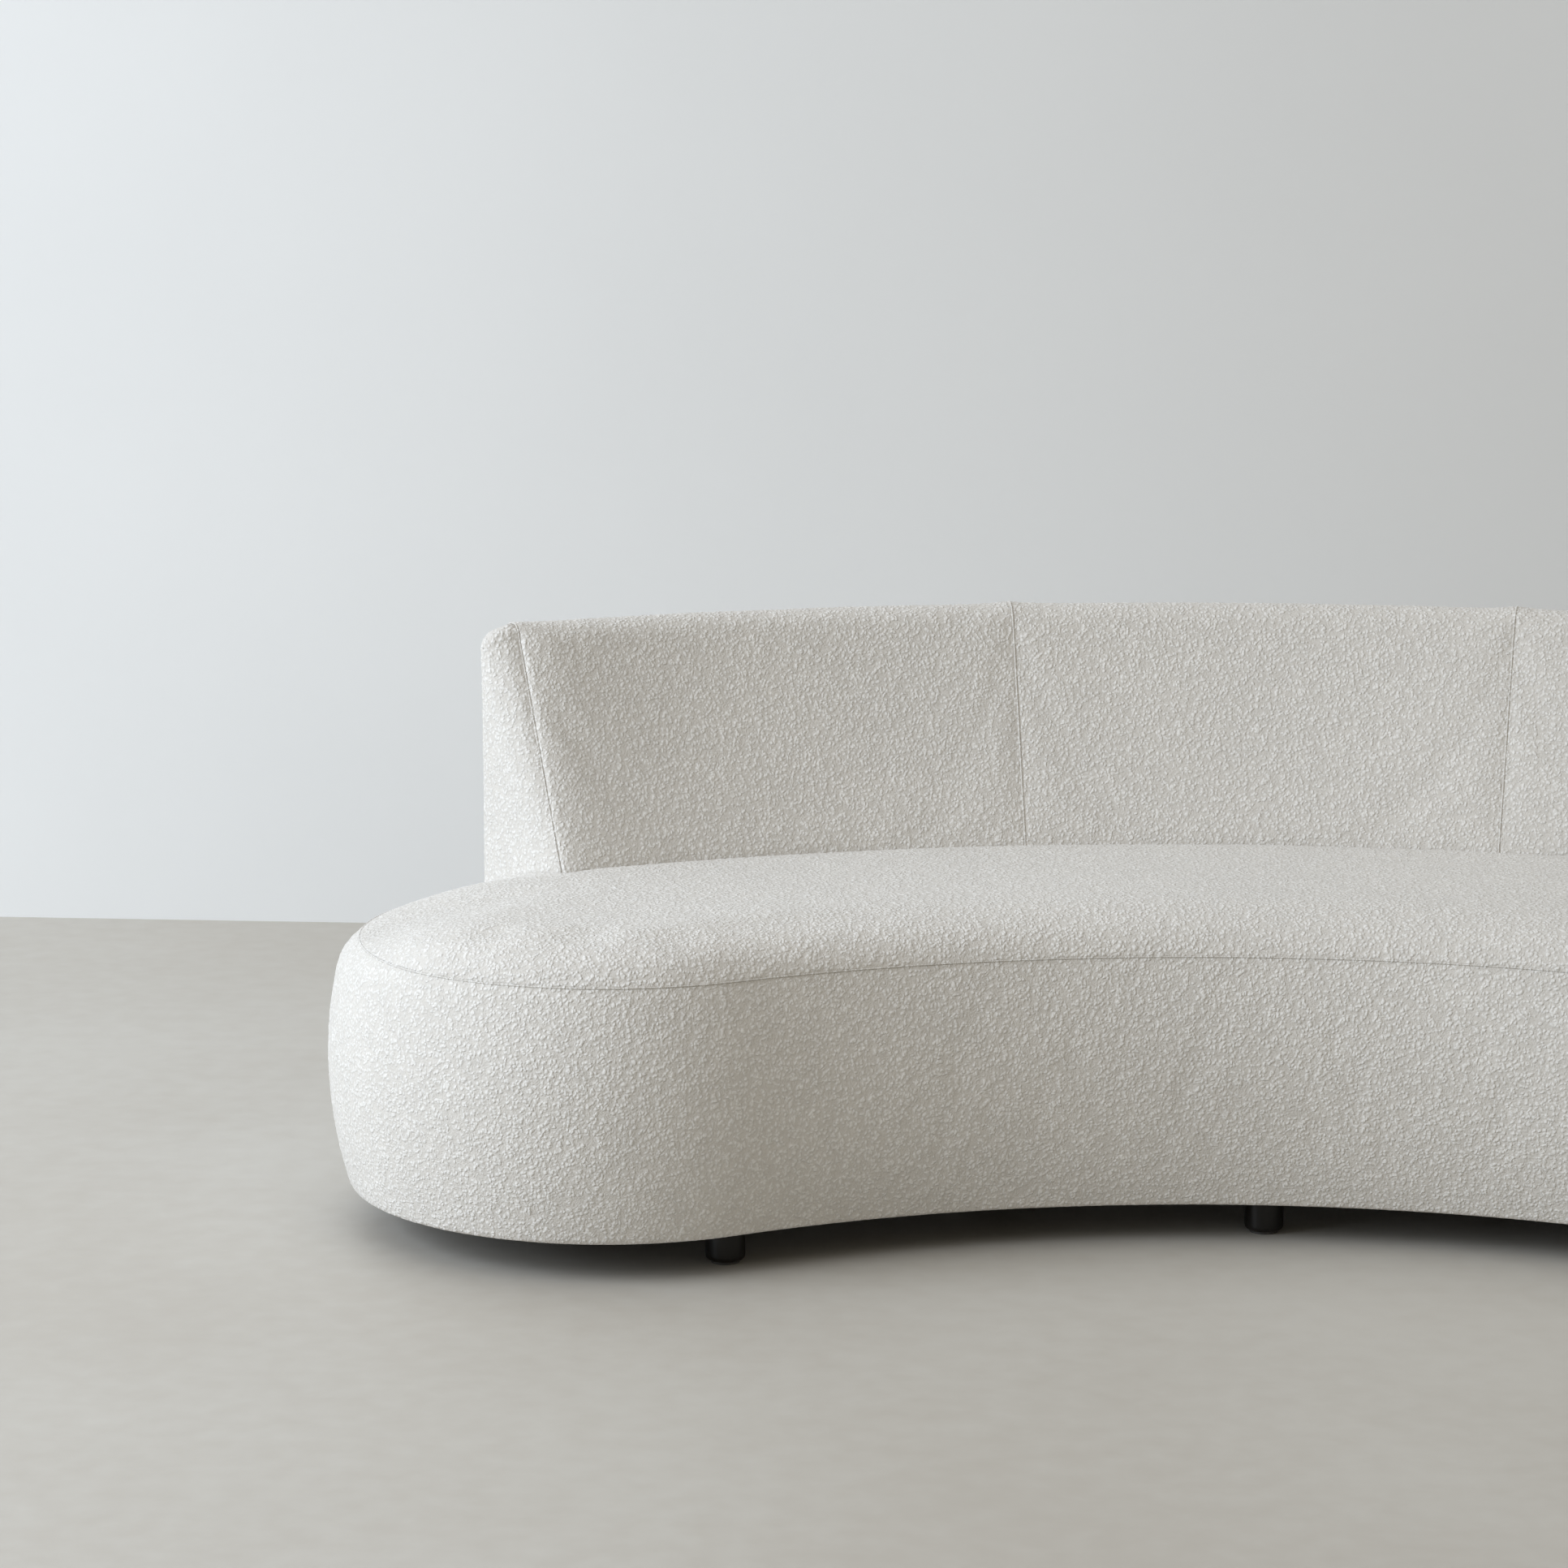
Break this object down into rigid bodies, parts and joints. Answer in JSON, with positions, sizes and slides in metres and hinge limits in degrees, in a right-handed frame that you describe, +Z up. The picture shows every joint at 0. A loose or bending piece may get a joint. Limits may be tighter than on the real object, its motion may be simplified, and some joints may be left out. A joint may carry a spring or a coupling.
{
  "type": "sofa",
  "caption": "Curved crescent sofa: a tight padded seat with round ends, a leaning curved back in sewn panels, and short turned wooden feet.",
  "frame": {"origin": "middle of the sofa's overall plan, on the floor", "axes": "+Z up; +X towards the sitter's left, which is the right of someone facing the sofa; the hollow front edge faces -Y and the back stands on the +Y side"},
  "size_m": [2.4248, 0.9842, 0.742],
  "materials": {
    "boucle": "matte",
    "foam": "matte",
    "birch_ply": "matte",
    "webbing": "matte",
    "dust_cloth": "matte",
    "black_wood": "satin",
    "zinc_steel": "satin",
    "glide_plastic": "matte"
  },
  "bodies": {
    "root": {"base_panel": "birch_ply", "front_rail": "birch_ply", "rear_rail": "birch_ply", "left_end_rail": "birch_ply", "right_end_rail": "birch_ply", "seat_ribs": "birch_ply", "foot_blocks": "birch_ply", "seat_deck": "birch_ply", "webbing_straps": "webbing", "seat_foam_core": "foam", "side_foam_front": "foam", "side_foam_rear": "foam", "side_foam_left": "foam", "side_foam_right": "foam", "seat_topper": "foam", "cover_seat_top": "boucle", "cover_seat_side": "boucle", "dust_cover": "dust_cloth", "back_bottom_rail": "birch_ply", "back_ribs": "birch_ply", "back_end_board_left": "birch_ply", "back_end_board_right": "birch_ply", "back_top_rail": "birch_ply", "back_inner_board": "birch_ply", "back_outer_board": "birch_ply", "back_inner_foam": "foam", "back_outer_foam": "foam", "back_top_roll": "foam", "back_end_pad_left": "foam", "back_end_pad_right": "foam", "cover_back_left": "boucle", "cover_back_centre": "boucle", "cover_back_right": "boucle", "cover_back_outer": "boucle", "cover_back_end_left": "boucle", "cover_back_end_right": "boucle", "foot_front_left": "black_wood", "foot_front_centre": "black_wood", "foot_front_right": "black_wood", "foot_rear_far_left": "black_wood", "foot_rear_left": "black_wood", "foot_rear_right": "black_wood", "foot_rear_far_right": "black_wood", "foot_studs": "zinc_steel", "foot_tnuts": "zinc_steel", "foot_glides": "glide_plastic", "back_bolts": "zinc_steel", "back_washers": "zinc_steel", "back_tnuts": "zinc_steel", "base_screws": "zinc_steel", "deck_screws": "zinc_steel"}
  },
  "joints": []
}
